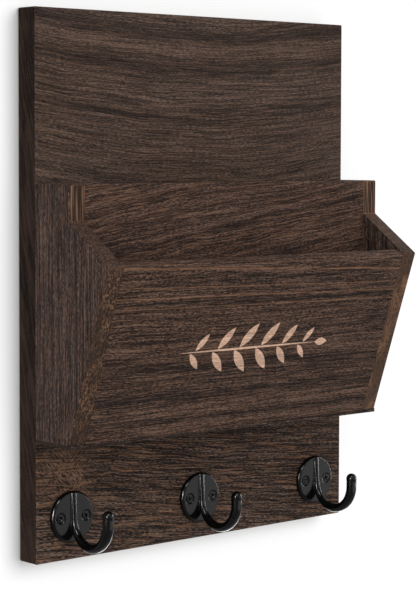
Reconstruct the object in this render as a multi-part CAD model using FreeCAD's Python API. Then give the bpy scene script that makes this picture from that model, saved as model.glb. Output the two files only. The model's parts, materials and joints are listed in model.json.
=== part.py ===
# Wall mail organizer: a backboard with a slanted two-part letter pocket and three cast hooks.
# Millimetres, +Z up, +X to the right as seen from the room, +Y into the wall.
# The origin is the centre of the backboard's back face, which lies on the wall.

import FreeCAD, Part
import math
import os

Vec = FreeCAD.Vector
X_AXIS = Vec(1, 0, 0)
Y_AXIS = Vec(0, 1, 0)
Z_AXIS = Vec(0, 0, 1)

# Backboard
board_width = 260.0
board_height = 335.0
board_thickness = 17.0

# Pocket: depths are measured from the backboard's front face, heights from the board's bottom edge
pocket_underside = 73.6
bottom_thickness = 2.5
side_thickness = 12.0
side_height = 153.7
side_depth = 32.5
upright_edge_height = 22.1
slope_drop = 25.1
nose_depth = 69.0
divider_thickness = 8.0
front_thickness = 8.0
glue_gap = 0.05

# Easing of the wood's sharp edges
edge_ease = 0.9
joint_ease = 0.3

# Dowels between the cheeks and what they hold
dowel_diameter = 4.0
dowel_length = 18.0
dowel_in_side = 7.0
dowel_end_gap = 0.5
dowel_clearance = 0.03
divider_dowel_margin = 18.0
front_dowel_margin = 24.0

# Screws from the back into the cheeks
carcass_screw_diameter = 3.5
carcass_screw_length = 38.0
carcass_head_diameter = 7.0
carcass_head_sink = 0.6
carcass_screw_margin = 26.0

# Brads through the thin bottom panel
brad_diameter = 1.2
brad_length = 14.0
brad_head_diameter = 2.6
brad_head_height = 0.6
brad_back_margin = 7.0
brad_front_margin = 11.0
brad_end_margin = 21.0
front_brad_count = 3

# Hooks
hook_names = ("hook_left", "hook_middle", "hook_right")
hook_inset = 26.0
hook_height = 26.5
disc_diameter = 32.0
disc_thickness = 3.0
disc_bevel_width = 1.5
disc_bevel_height = 1.1
disc_seat_gap = 0.05
rib_width = 3.8
rib_thickness = 4.2
rib_lean = 6.0
rib_top_margin = 0.7
arm_width = 6.2
arm_thickness = 5.1
arm_radius = 16.4
arm_centre_depth = 21.3
arm_centre_drop = 1.0
arm_rise = 5.5
arm_growth_share = 0.5
arm_sections = 12
tip_diameter = 6.7
arm_corner_share = 0.42
hook_screw_offset = 9.7
hook_screw_diameter = 3.0
hook_screw_length = 14.0
hook_head_diameter = 6.3
hook_head_sink = 0.4

# Keyhole hanger plates, let in flush with the back
hanger_inset = 30.0
hanger_drop = 42.0
hanger_length = 44.0
hanger_width = 16.0
hanger_thickness = 1.5
hanger_fit = 0.25
keyhole_entry_diameter = 9.0
keyhole_slot_width = 4.5
keyhole_entry_drop = 4.0
keyhole_slot_rise = 6.0
head_pocket_depth = 8.0
head_pocket_margin = 1.0
hanger_screw_margin = 5.0
hanger_screw_diameter = 2.5
hanger_screw_length = 11.0
hanger_head_diameter = 5.2

# Common to all screws
screw_clearance = 0.05
screw_point_share = 1.4
recess_span_share = 0.62
recess_width_share = 0.16
recess_depth_share = 0.34

# How far a cutting shape runs past the face that it opens, and how close counts as the same place
cut_overrun = 1.0
same_place = 0.01

# Heights and depths worked out from the sizes above
board_front = -board_thickness
board_bottom = -board_height / 2
side_bottom = board_bottom + pocket_underside + bottom_thickness
side_top = side_bottom + side_height
upright_bottom = side_top - upright_edge_height
nose_z = upright_bottom - slope_drop
lean = math.atan2(nose_depth - side_depth, nose_z - side_bottom)
inner_half_width = board_width / 2 - side_thickness
hook_z = board_bottom + hook_height
hanger_z = board_height / 2 - hanger_drop
hanger_x = board_width / 2 - hanger_inset

# Each kind of screw: its diameter, its head's diameter and its length
carcass_screw = (carcass_screw_diameter, carcass_head_diameter, carcass_screw_length)
hook_screw = (hook_screw_diameter, hook_head_diameter, hook_screw_length)
hanger_screw = (hanger_screw_diameter, hanger_head_diameter, hanger_screw_length)


def at_depth(x, depth, z):
    """A point by its depth in front of the backboard's front face."""
    return Vec(x, board_front - depth, z)


def prism(points, x_start, width):
    """Extrude a closed outline of (depth, z) points along X."""
    corners = [at_depth(x_start, depth, z) for depth, z in points]
    face = Part.Face(Part.makePolygon(corners + corners[:1]))
    return face.extrude(X_AXIS * width)


def ease_edges(solid, keep_sharp, radius):
    """Round every edge apart from those whose middle point keep_sharp picks."""
    edges = [e for e in solid.Edges if not keep_sharp(e.CenterOfMass)]
    return solid.makeFillet(radius, edges)


def cylinder_along(radius, start, direction, length):
    return Part.makeCylinder(radius, length, start, direction)


def near(a, b):
    return abs(a - b) < same_place


def cross_recess(head, direction, head_diameter):
    """The cross-shaped driver recess cut into a screw's flat head at the point head."""
    span = head_diameter * recess_span_share
    width = head_diameter * recess_width_share
    depth = head_diameter * recess_depth_share
    bar = Part.makeBox(span, width, depth, Vec(-span / 2, -width / 2, 0))
    cross = bar.fuse(bar.rotated(Vec(), Z_AXIS, 90))
    cross.Placement = FreeCAD.Placement(head, FreeCAD.Rotation(Z_AXIS, direction))
    return cross


def countersunk_screw(head, direction, size):
    """A flat-head screw with its head's centre at head, pointing along direction."""
    diameter, head_diameter, length = size
    radius = diameter / 2
    head_radius = head_diameter / 2
    head_height = head_radius - radius
    point = diameter * screw_point_share
    outline = [
        Vec(0, 0, 0),
        Vec(head_radius, 0, 0),
        Vec(radius, 0, head_height),
        Vec(radius, 0, length - point),
        Vec(0, 0, length),
    ]
    face = Part.Face(Part.makePolygon(outline + outline[:1]))
    screw = face.revolve(Vec(), Z_AXIS, 360)
    screw.Placement = FreeCAD.Placement(head, FreeCAD.Rotation(Z_AXIS, direction))
    return screw.cut(cross_recess(head, direction, head_diameter))


def screw_hole(head, direction, size, sink):
    """The countersunk hole that a screw seats in, opened by sink in front of its head."""
    diameter, head_diameter, length = size
    radius = diameter / 2 + screw_clearance
    mouth_radius = head_diameter / 2 + sink
    cone = Part.makeCone(mouth_radius, radius, mouth_radius - radius, head - direction * sink, direction)
    mouth = cylinder_along(mouth_radius, head - direction * (sink + cut_overrun), direction, cut_overrun)
    pilot = cylinder_along(radius, head, direction, length + screw_clearance)
    return mouth.fuse([cone, pilot])


def obround(x, z_low, z_high, width, y_low, y_high):
    """An upright slot shape, round at both ends, between two heights and two Y values."""
    radius = width / 2
    low = Vec(x, y_low, z_low + radius)
    high = Vec(x, y_low, z_high - radius)
    arc_top = Part.Arc(high - X_AXIS * radius, high + Z_AXIS * radius, high + X_AXIS * radius)
    arc_bottom = Part.Arc(low + X_AXIS * radius, low - Z_AXIS * radius, low - X_AXIS * radius)
    sides = [
        Part.makeLine(high + X_AXIS * radius, low + X_AXIS * radius),
        Part.makeLine(low - X_AXIS * radius, high - X_AXIS * radius),
    ]
    wire = Part.Wire([arc_top.toShape(), sides[0], arc_bottom.toShape(), sides[1]])
    return Part.Face(wire).extrude(Y_AXIS * (y_high - y_low))


# Places that more than one piece shares

def side_centres():
    return [-(board_width - side_thickness) / 2, (board_width - side_thickness) / 2]


def hook_centres():
    first = -board_width / 2 + hook_inset
    pitch = (board_width - 2 * hook_inset) / (len(hook_names) - 1)
    return [first + i * pitch for i in range(len(hook_names))]


def front_back_depth(z):
    """Depth of the front panel's inner face at a height."""
    return side_depth + (z - side_bottom) * math.tan(lean) - front_thickness / math.cos(lean)


def divider_bottom():
    """The divider stops where its front lower corner meets the front panel's inner face."""
    return side_bottom + (front_thickness + glue_gap) / math.sin(lean)


def dowel_starts():
    """Inner end of each dowel's hole in the cheeks: (sign of X, depth, z)."""
    divider_depth = side_depth - divider_thickness / 2
    heights = [side_top - divider_dowel_margin, divider_bottom() + divider_dowel_margin]
    spots = [(divider_depth, z) for z in heights]
    for z in (nose_z - front_dowel_margin, side_bottom + front_dowel_margin):
        spots.append((front_back_depth(z) + front_thickness / 2 / math.cos(lean), z))
    return [(sign, depth, z) for sign in (-1, 1) for depth, z in spots]


def carcass_screw_heads():
    heights = [side_top - carcass_screw_margin, side_bottom + carcass_screw_margin]
    return [Vec(x, -carcass_head_sink, z) for x in side_centres() for z in heights]


def hook_screw_heads():
    y = board_front - disc_seat_gap - disc_thickness + hook_head_sink
    return [Vec(x + s * hook_screw_offset, y, hook_z) for x in hook_centres() for s in (-1, 1)]


def hanger_screw_heads():
    reach = hanger_length / 2 - hanger_screw_margin
    return [Vec(sx * hanger_x, 0, hanger_z + sz * reach) for sx in (-1, 1) for sz in (-1, 1)]


def brad_spots():
    """(x, depth) of every brad in the bottom panel.

    Those under the leaning front panel stand midway between its two faces, its inner one at their tips."""
    depths = [brad_back_margin, side_depth - brad_front_margin]
    spots = [(x, depth) for x in side_centres() for depth in depths]
    tip_z = side_bottom - bottom_thickness + brad_length
    front_depth = (front_back_depth(tip_z) + side_depth) / 2
    run = 2 * (inner_half_width - brad_end_margin)
    for i in range(front_brad_count):
        spots.append((-run / 2 + i * run / (front_brad_count - 1), front_depth))
    return spots


# Holes

def carcass_screw_holes():
    return [screw_hole(head, -Y_AXIS, carcass_screw, carcass_head_sink) for head in carcass_screw_heads()]


def hook_screw_holes():
    return [screw_hole(head, Y_AXIS, hook_screw, hook_head_sink) for head in hook_screw_heads()]


def hanger_screw_holes():
    return [screw_hole(head, -Y_AXIS, hanger_screw, 0.0) for head in hanger_screw_heads()]


def dowel_holes():
    """Each dowel's hole: dowel_in_side deep into the cheek, the rest into the piece between."""
    holes = []
    for sign, depth, z in dowel_starts():
        start = at_depth(sign * (inner_half_width + dowel_in_side + dowel_end_gap), depth, z)
        length = dowel_length + 2 * dowel_end_gap
        holes.append(cylinder_along(dowel_diameter / 2 + dowel_clearance, start, X_AXIS * -sign, length))
    return holes


def brad_holes():
    z = side_bottom - bottom_thickness
    reach = brad_length + screw_clearance
    holes = []
    for x, depth in brad_spots():
        foot = at_depth(x, depth, z)
        shank = cylinder_along(brad_diameter / 2 + screw_clearance, foot, Z_AXIS, reach)
        head = cylinder_along(brad_head_diameter / 2 + screw_clearance, foot, Z_AXIS, brad_head_height)
        holes.append(shank.fuse(head))
    return holes


def hanger_recesses():
    """A shallow bed for each hanger plate, and a deeper pocket for the wall screw's head."""
    cuts = []
    half = hanger_length / 2 + hanger_fit
    low = hanger_z - keyhole_entry_drop - keyhole_entry_diameter / 2 - head_pocket_margin
    high = hanger_z + keyhole_slot_rise + keyhole_entry_diameter / 2 + head_pocket_margin
    for x in (-hanger_x, hanger_x):
        width = hanger_width + 2 * hanger_fit
        bed = obround(x, hanger_z - half, hanger_z + half, width, -hanger_thickness, cut_overrun)
        pocket_width = keyhole_entry_diameter + 2 * head_pocket_margin
        cuts += [bed, obround(x, low, high, pocket_width, -head_pocket_depth, cut_overrun)]
    return cuts


# Wooden pieces

def make_backboard():
    corner = Vec(-board_width / 2, board_front, board_bottom)
    board = Part.makeBox(board_width, board_thickness, board_height, corner)
    board = ease_edges(board, lambda c: False, edge_ease)
    return board.cut(carcass_screw_holes() + hook_screw_holes() + hanger_recesses() + hanger_screw_holes())


def make_side(sign):
    """A cheek: upright edge at the top, slope down to the nose, slanted front below it."""
    outline = [
        (glue_gap, side_bottom + glue_gap),
        (glue_gap, side_top),
        (side_depth, side_top),
        (side_depth, upright_bottom),
        (nose_depth, nose_z),
        (side_depth, side_bottom + glue_gap),
    ]
    x_start = inner_half_width if sign > 0 else -board_width / 2
    side = prism(outline, x_start, side_thickness)
    back = board_front - glue_gap
    inner_x = sign * inner_half_width

    def seats(c):
        return near(c.y, back) or near(c.z, side_bottom + glue_gap) or near(c.x, inner_x)

    def all_but_inner(c):
        return not near(c.x, inner_x) or near(c.y, back) or near(c.z, side_bottom + glue_gap)

    side = ease_edges(side, seats, edge_ease)
    side = ease_edges(side, all_but_inner, joint_ease)
    return side.cut(carcass_screw_holes() + dowel_holes() + brad_holes())


def make_divider():
    low = divider_bottom()
    half = inner_half_width - glue_gap
    outline = [
        (side_depth - divider_thickness, low),
        (side_depth - divider_thickness, side_top),
        (side_depth, side_top),
        (side_depth, low),
    ]
    board = prism(outline, -half, 2 * half)
    board = ease_edges(board, lambda c: not near(c.z, side_top) or abs(c.x) > half - same_place, edge_ease)
    return board.cut(dowel_holes())


def make_front_panel():
    """A leaning board, its top cut square and its foot cut level to stand on the bottom panel."""
    half = inner_half_width - glue_gap
    foot = side_bottom + glue_gap
    top_back_depth = nose_depth - front_thickness * math.cos(lean)
    top_back_z = nose_z + front_thickness * math.sin(lean)
    outline = [
        (side_depth + glue_gap * math.tan(lean), foot),
        (nose_depth, nose_z),
        (top_back_depth, top_back_z),
        (front_back_depth(foot), foot),
    ]
    panel = prism(outline, -half, 2 * half)
    top = [nose_z, top_back_z]

    def not_top_edge(c):
        return not any(near(c.z, z) for z in top) or abs(c.x) > half - same_place

    panel = ease_edges(panel, not_top_edge, edge_ease)
    return panel.cut(dowel_holes() + brad_holes())


def make_bottom_panel():
    size_y = side_depth - glue_gap
    corner = at_depth(-board_width / 2, side_depth, side_bottom - bottom_thickness)
    panel = Part.makeBox(board_width, size_y, bottom_thickness, corner)
    low = side_bottom - bottom_thickness
    back = board_front - glue_gap
    panel = ease_edges(panel, lambda c: near(c.y, back) or not near(c.z, low), joint_ease)
    return panel.cut(brad_holes())


def make_dowels():
    pins = []
    for sign, depth, z in dowel_starts():
        start = at_depth(sign * (inner_half_width + dowel_in_side), depth, z)
        pins.append(cylinder_along(dowel_diameter / 2, start, X_AXIS * -sign, dowel_length))
    return Part.makeCompound(pins)


# Metal pieces

def make_bottom_brads():
    brads = []
    for x, depth in brad_spots():
        foot = at_depth(x, depth, side_bottom - bottom_thickness)
        shank = cylinder_along(brad_diameter / 2, foot, Z_AXIS, brad_length - brad_diameter)
        head = cylinder_along(brad_head_diameter / 2, foot, Z_AXIS, brad_head_height)
        tip_at = foot + Z_AXIS * (brad_length - brad_diameter)
        tip = Part.makeCone(brad_diameter / 2, 0, brad_diameter, tip_at, Z_AXIS)
        brads.append(shank.fuse([head, tip]).removeSplitter())
    return Part.makeCompound(brads)


def make_screws(heads, direction, size):
    return Part.makeCompound([countersunk_screw(head, direction, size) for head in heads])


def make_hanger_plate(x):
    """A stamped plate with round ends, a keyhole in its middle and a countersunk hole at each end."""
    half = hanger_length / 2
    plate = obround(x, hanger_z - half, hanger_z + half, hanger_width, -hanger_thickness, 0.0)
    cut_low = -hanger_thickness - cut_overrun
    entry_at = Vec(x, cut_low, hanger_z - keyhole_entry_drop)
    entry = cylinder_along(keyhole_entry_diameter / 2, entry_at, Y_AXIS, cut_overrun - cut_low)
    slot_low = hanger_z - keyhole_entry_drop - keyhole_slot_width / 2
    slot_high = hanger_z + keyhole_slot_rise + keyhole_slot_width / 2
    slot = obround(x, slot_low, slot_high, keyhole_slot_width, cut_low, cut_overrun)
    return plate.cut([entry, slot] + hanger_screw_holes())


def arm_section(depth, z, turn, width, thickness):
    """One cross-section of the hook's arm: a rectangle with large round corners.

    turn is the angle that the arm's line has turned from straight down, in radians."""
    centre = Vec(0, -depth, z)
    across = X_AXIS
    outward = Vec(0, -math.cos(turn), math.sin(turn))
    corner = arm_corner_share * thickness
    flat_w = width / 2 - corner
    flat_t = thickness / 2 - corner
    edges = []
    for i in range(4):
        a = (across, outward, across * -1, outward * -1)[i]
        b = (outward, across * -1, outward * -1, across)[i]
        flat_a, flat_b = (flat_w, flat_t) if i % 2 == 0 else (flat_t, flat_w)
        start = centre + a * (flat_a + corner) + b * flat_b
        middle = centre + a * flat_a + b * flat_b + (a + b) * (corner * math.sqrt(0.5))
        end = centre + a * flat_a + b * (flat_b + corner)
        edges.append(Part.Arc(start, middle, end).toShape())
        next_a = b
        next_b = a * -1
        next_start = centre + next_a * (flat_b + corner) + next_b * flat_a
        edges.append(Part.makeLine(end, next_start))
    return Part.Wire(edges)


def arm_place(turn):
    """Depth and height of the arm's middle line on its half circle."""
    depth = arm_centre_depth - arm_radius * math.cos(turn)
    return depth, -arm_centre_drop - arm_radius * math.sin(turn)


def hook_arm():
    """Rib down the disc, then most of a half circle out and up; it widens from the rib to the arm."""
    start_turn = math.radians(rib_lean)
    sections = []
    for i in range(arm_sections + 1):
        turn = start_turn + (math.pi - start_turn) * i / arm_sections
        depth, z = arm_place(turn)
        grown = min(1.0, i / arm_sections / arm_growth_share)
        width = rib_width + (arm_width - rib_width) * grown
        thickness = rib_thickness + (arm_thickness - rib_thickness) * grown
        sections.append(arm_section(depth, z, turn, width, thickness))
    curve = Part.makeLoft(sections, True, False)
    rib_rise = disc_diameter / 2 - rib_top_margin - arm_place(start_turn)[1]
    rib = Part.Face(sections[0]).extrude(Vec(0, rib_rise * math.tan(start_turn), rib_rise))
    rise = Part.Face(sections[-1]).extrude(Z_AXIS * arm_rise)
    tip_depth, tip_z = arm_place(math.pi)
    tip = Part.makeSphere(tip_diameter / 2, Vec(0, -tip_depth, tip_z + arm_rise))
    return rib.fuse([curve, rise, tip])


def hook_disc():
    """The round base, its front rim bevelled."""
    radius = disc_diameter / 2
    outline = [
        Vec(0, 0, 0),
        Vec(radius, 0, 0),
        Vec(radius, -(disc_thickness - disc_bevel_height), 0),
        Vec(radius - disc_bevel_width, -disc_thickness, 0),
        Vec(0, -disc_thickness, 0),
    ]
    face = Part.Face(Part.makePolygon(outline + outline[:1]))
    return face.revolve(Vec(), Y_AXIS, 360)


def make_hook(x):
    hook = hook_disc().fuse(hook_arm())
    hook.translate(Vec(x, board_front - disc_seat_gap, hook_z))
    return hook.cut(hook_screw_holes())


def make_parts():
    parts = {
        "backboard": make_backboard(),
        "side_panel_left": make_side(-1),
        "side_panel_right": make_side(1),
        "divider": make_divider(),
        "front_panel": make_front_panel(),
        "bottom_panel": make_bottom_panel(),
        "dowels": make_dowels(),
        "bottom_brads": make_bottom_brads(),
        "carcass_screws": make_screws(carcass_screw_heads(), -Y_AXIS, carcass_screw),
        "hook_screws": make_screws(hook_screw_heads(), Y_AXIS, hook_screw),
        "hanger_screws": make_screws(hanger_screw_heads(), -Y_AXIS, hanger_screw),
        "hanger_plate_left": make_hanger_plate(-hanger_x),
        "hanger_plate_right": make_hanger_plate(hanger_x),
    }
    for name, x in zip(hook_names, hook_centres()):
        parts[name] = make_hook(x)
    return parts


os.makedirs("parts", exist_ok=True)
for node, shape in make_parts().items():
    shape.exportStep("parts/" + node + ".step")
    print(node, "solids", len(shape.Solids), "volume", round(shape.Volume, 1), "valid", shape.isValid())
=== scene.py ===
"""Looks of a wall mail organizer: stained boards, cast hooks, screws, plates, stage, light and camera."""

import json
import math

import bpy
from bpy.props import FloatProperty, FloatVectorProperty, IntProperty, PointerProperty
from mathutils import Matrix, Vector

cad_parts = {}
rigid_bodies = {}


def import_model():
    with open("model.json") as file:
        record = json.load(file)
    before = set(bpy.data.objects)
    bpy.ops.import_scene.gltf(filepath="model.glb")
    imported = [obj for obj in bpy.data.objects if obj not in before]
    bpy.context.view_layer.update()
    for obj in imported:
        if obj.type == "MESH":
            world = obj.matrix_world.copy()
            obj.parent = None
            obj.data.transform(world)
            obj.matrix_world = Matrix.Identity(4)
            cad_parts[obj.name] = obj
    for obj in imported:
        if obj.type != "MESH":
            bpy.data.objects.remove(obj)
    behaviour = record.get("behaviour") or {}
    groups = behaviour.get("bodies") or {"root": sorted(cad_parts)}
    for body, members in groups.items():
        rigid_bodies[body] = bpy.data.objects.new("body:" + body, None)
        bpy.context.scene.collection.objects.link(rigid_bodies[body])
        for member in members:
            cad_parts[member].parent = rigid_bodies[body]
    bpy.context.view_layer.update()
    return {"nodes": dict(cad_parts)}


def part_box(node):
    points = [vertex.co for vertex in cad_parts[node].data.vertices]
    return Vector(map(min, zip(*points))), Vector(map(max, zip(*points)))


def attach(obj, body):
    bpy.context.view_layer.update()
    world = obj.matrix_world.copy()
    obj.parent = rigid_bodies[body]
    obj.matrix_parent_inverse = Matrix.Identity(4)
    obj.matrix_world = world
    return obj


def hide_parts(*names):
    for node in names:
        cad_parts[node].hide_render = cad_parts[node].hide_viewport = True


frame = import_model()

bl_info = {
    "name": "Wall Mail Organizer",
    "version": (1, 0, 0),
    "blender": (4, 5, 0),
    "location": "View3D > Sidebar > Organizer",
    "description": "Stains the boards, casts the hooks and sets up the stage of a wall mail organizer",
    "category": "Object",
}

MM = 0.001
HOOK_NODES = ("hook_left", "hook_middle", "hook_right")
OUT_OF_WALL = (math.radians(90), 0.0, 0.0)
TO_WALL = 1
TO_ROOM = -1
WALL_GAP = 0.4 * MM

# On a board, in millimetres: half the height over which its contrast or its warmth changes, and where
# its low part begins and is fully reached

FADE = 12.0
LOW_PART = (-50.0, -95.0)

# The cast hooks

DISC_RADIUS = 16 * MM
DISC_FACE_RADIUS = 15 * MM
DISC_DRUM = 1.9 * MM
DISC_RIM = 1.1 * MM
SCREW_OFFSET = 9.7 * MM
COUNTERSINK_RADII = (1.5 * MM, 4.1 * MM)
COUNTERSINK_DEPTH = 2.6 * MM
COUNTERSINK_STANDOUT = 0.5 * MM
RIB_WIDTH = 3.8 * MM
RIB_CORNER = 1.65 * MM
RIB_LEAN = math.radians(4.0)
RIB_TOP = 15.3 * MM
ARM_RADIUS = 16.5 * MM
ARM_STANDOFF = 20.0 * MM
ARM_DROP = 0.45 * MM
ARM_WIDTH = 7.0 * MM
ARM_THICKNESS = 5.7 * MM
ARM_STEPS = 28
TIP_RISE = 5.3 * MM
TIP_RADIUS = 3.5 * MM

# The hooks' screws: how far each step of the head and of the shank goes, and how it narrows. The bar
# that cuts the recess is in millimetres, and its turns are in degrees.

HEAD_RADIUS = 3.1 * MM
HEAD_RIM = 0.35 * MM
HEAD_STANDOFF = 2.5 * MM
HEAD_STEPS = ((0.22 * MM, 0.8), (0.1 * MM, 0.6))
SHANK_STEPS = ((1.6 * MM, 1.45 / 3.1), (8.2 * MM, 1.0), (3.0 * MM, 0.08))
RECESS_BAR = (5.8, 3.4, 1.35)
RECESS_TAPER = (0.35, 1, 0.6)
RECESS_TURNS = {"hook_left": (48, 38), "hook_middle": (20, 52), "hook_right": (65, 30)}

# The sprig

LEAF_LENGTH = 12.5 * MM
LEAF_RISE = 15.5 * MM
LEAF_WIDTH = 6.2 * MM
LEAF_STAGGER = 4 * MM
TIP_LEAF_WIDTH = 5.0 * MM
STEM_WIDTH = 1.4 * MM
SPRIG_THICKNESS = 0.12 * MM
SPRIG_SHIFT = 2.5 * MM


# Settings that a user would change

def colour_setting(name, description, default):
    return FloatVectorProperty(name=name, description=description, default=default, subtype="COLOR", size=3)


def length_setting(name, description, default):
    return FloatProperty(name=name, description=description, default=default, unit="LENGTH")


def count_setting(name, description, default, low):
    return IntProperty(name=name, description=description, default=default, min=low)


def angle_setting(name, description, degrees):
    return FloatProperty(name=name, description=description, default=math.radians(degrees), subtype="ANGLE")


class BoardSettings(bpy.types.PropertyGroup):
    dark: colour_setting("Dark stain", "Colour of the late wood and the pores", (0.0068, 0.0042, 0.0036))
    middle: colour_setting("Middle stain", "Colour of most of the stained wood", (0.037, 0.0225, 0.0168))
    light: colour_setting("Light stain", "Colour of fibres that took little stain", (0.165, 0.104, 0.074))
    copper: colour_setting("Copper streaks", "Colour of warm lines and worn edges", (0.245, 0.125, 0.070))
    end_grain: colour_setting("End grain", "Colour of the sawn ends", (0.0036, 0.0021, 0.0016))
    edge: colour_setting("Sawn edges", "Colour of edges between the copper streaks", (0.02, 0.0125, 0.008))
    bare: colour_setting("Bare wood", "Colour where the stain is burnt away", (0.74, 0.475, 0.345))


class HookSettings(bpy.types.PropertyGroup):
    grain: length_setting("Casting grid", "Size of the mesh that rounds the cast corners", 0.00027)
    soften: count_setting("Softening", "How many times the cast corners are smoothed", 16, 0)
    coat: colour_setting("Black coat", "Colour of the hooks and their screws", (0.0022, 0.0022, 0.0021))


class SprigSettings(bpy.types.PropertyGroup):
    length: length_setting("Sprig length", "Length of the burnt-in sprig of leaves", 0.127)
    drop: length_setting("Sprig drop", "From the front panel's top edge down to the sprig's middle", 0.058)
    leaf_pairs: count_setting("Leaf pairs", "How many pairs of leaves the sprig has", 6, 1)


class StageSettings(bpy.types.PropertyGroup):
    camera_place: FloatVectorProperty(
        name="Camera place",
        description="Where the camera stands",
        default=(-0.83085, -0.95717, 0.08287),
        subtype="TRANSLATION",
        size=3,
    )
    yaw: angle_setting("Camera yaw", "How far the camera looks to the right of straight ahead", 41.741)
    pitch: angle_setting("Camera pitch", "How far the camera looks up", -3.233)
    roll: angle_setting("Camera roll", "How far the camera leans about its line of sight", 0.1114)
    lens: FloatProperty(
        name="Lens",
        description="Focal length in millimetres on a 36 mm sensor",
        default=114.53,
        subtype="DISTANCE_CAMERA",
    )
    lens_shift: FloatProperty(
        name="Lens shift",
        description="How far the picture is cropped below the lens's axis, in picture heights",
        default=-0.0779,
    )
    daylight: FloatProperty(
        name="Room light",
        description="Strength of the even light from all round",
        default=0.5,
        min=0.0,
    )


# Steps that every piece uses

def start_clean():
    if bpy.context.mode != "OBJECT":
        bpy.ops.object.mode_set(mode="OBJECT")
    bpy.ops.object.select_all(action="DESELECT")


def activate(piece):
    start_clean()
    piece.select_set(True)
    bpy.context.view_layer.objects.active = piece


def edit_faces(piece, way=0):
    """Enter edit mode with the faces selected that look to the wall (1), the room (-1) or anywhere (0)."""
    activate(piece)
    bpy.ops.object.mode_set(mode="EDIT")
    bpy.ops.mesh.select_mode(type="FACE")
    bpy.ops.mesh.select_all(action="DESELECT")
    bpy.ops.object.mode_set(mode="OBJECT")
    for face in piece.data.polygons:
        face.select = way == 0 or face.normal.y * way > 0.9
    bpy.ops.object.mode_set(mode="EDIT")


def draw_out(distance, share, pivot):
    """Extrude the selected faces along Y, then narrow their end to a share of its size."""
    bpy.ops.mesh.extrude_region_move(TRANSFORM_OT_translate={"value": (0, distance, 0)})
    bpy.ops.transform.resize(value=(share, 1, share), center_override=pivot)


def apply_place(piece):
    activate(piece)
    bpy.ops.object.transform_apply(location=True, rotation=True, scale=True)


def apply_modifier(piece, kind, **values):
    activate(piece)
    modifier = piece.modifiers.new(kind.lower(), kind)
    for name, value in values.items():
        setattr(modifier, name, value)
    bpy.ops.object.modifier_apply(modifier=modifier.name)


def cut_away(piece, cutter):
    """Subtract the cutter from the piece and remove the cutter."""
    apply_modifier(piece, "BOOLEAN", object=cutter, operation="DIFFERENCE", solver="EXACT")
    bpy.data.objects.remove(cutter)


def join(pieces, name):
    start_clean()
    for piece in pieces:
        piece.select_set(True)
    bpy.context.view_layer.objects.active = pieces[0]
    if len(pieces) > 1:
        bpy.ops.object.join()
    joined = bpy.context.view_layer.objects.active
    joined.name = name
    joined.data.name = name
    return joined


def copy_shifted(piece, name, shift):
    twin = piece.copy()
    twin.data = piece.data.copy()
    twin.name = name
    twin.data.name = name
    bpy.context.scene.collection.objects.link(twin)
    twin.data.transform(Matrix.Translation(shift))
    return twin


def outward(piece):
    activate(piece)
    bpy.ops.object.mode_set(mode="EDIT")
    bpy.ops.mesh.select_all(action="SELECT")
    bpy.ops.mesh.remove_doubles(threshold=0.000001)
    bpy.ops.mesh.normals_make_consistent(inside=False)
    bpy.ops.object.mode_set(mode="OBJECT")


def put_on(piece, node, material):
    """The new piece stands for a node, rides on the body and takes its material."""
    piece.data.materials.clear()
    piece.data.materials.append(material)
    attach(piece, "root")
    if node:
        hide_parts(node)


def finish_node(node, material):
    solid = frame["nodes"][node]
    if not solid.material_slots:
        solid.data.materials.append(material)
    for slot in solid.material_slots:
        slot.material = material


# Shader building

def add(tree, kind, inputs=None, **settings):
    """Add a shader node, set its properties, then link each input to a socket or set its value."""
    made = tree.nodes.new(kind)
    for name, value in settings.items():
        setattr(made, name, value)
    for key, value in (inputs or {}).items():
        if isinstance(value, bpy.types.NodeSocket):
            tree.links.new(value, made.inputs[key])
        else:
            made.inputs[key].default_value = value
    return made


def maths(tree, operation, a, b=0.0, c=0.0, clamp=False):
    inputs = {0: a, 1: b, 2: c}
    return add(tree, "ShaderNodeMath", inputs, operation=operation, use_clamp=clamp).outputs[0]


def times(tree, a, b):
    return maths(tree, "MULTIPLY", a, b)


def times_plus(tree, a, b, c):
    return maths(tree, "MULTIPLY_ADD", a, b, c)


def spread(tree, value, low, high, to_low=0.0, to_high=1.0):
    """Map low..high to to_low..to_high, clamped."""
    inputs = {"Value": value, "From Min": low, "From Max": high, "To Min": to_low, "To Max": to_high}
    return add(tree, "ShaderNodeMapRange", inputs).outputs["Result"]


def stretched(tree, point, scale):
    """The point, with each axis multiplied by its own number."""
    return add(tree, "ShaderNodeVectorMath", {0: point, 1: scale}, operation="MULTIPLY").outputs[0]


def turned(tree, point, axis, degrees):
    """The point, turned about one axis."""
    inputs = {"Vector": point, "Angle": math.radians(degrees)}
    return add(tree, "ShaderNodeVectorRotate", inputs, rotation_type=axis + "_AXIS").outputs[0]


def noise(tree, point, scale, detail=2.0, roughness=0.5, distortion=0.0):
    look = {"Scale": 1.0, "Detail": detail, "Roughness": roughness, "Distortion": distortion}
    inputs = {"Vector": stretched(tree, point, scale), **look}
    return add(tree, "ShaderNodeTexNoise", inputs).outputs["Fac"]


def centred_noise(tree, point, scale, detail):
    """Noise that swings about 0."""
    return maths(tree, "SUBTRACT", noise(tree, point, scale, detail), 0.5)


def away(tree, value, middle):
    return maths(tree, "ABSOLUTE", maths(tree, "SUBTRACT", value, middle))


def grey(tree, shade):
    return add(tree, "ShaderNodeCombineColor", {0: shade, 1: shade, 2: shade}).outputs[0]


def bumped(tree, shader, height, strength, depth):
    bump = add(tree, "ShaderNodeBump", {"Height": height, "Strength": strength, "Distance": depth})
    tree.links.new(bump.outputs[0], shader.inputs["Normal"])


def mix_colour(tree, factor, a, b, blend="MIX"):
    """Mix two colours, each a socket or three numbers."""
    a, b = (colour if isinstance(colour, bpy.types.NodeSocket) else (*colour, 1.0) for colour in (a, b))
    inputs = {0: factor, 6: a, 7: b}
    return add(tree, "ShaderNodeMix", inputs, data_type="RGBA", blend_type=blend).outputs[2]


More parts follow.
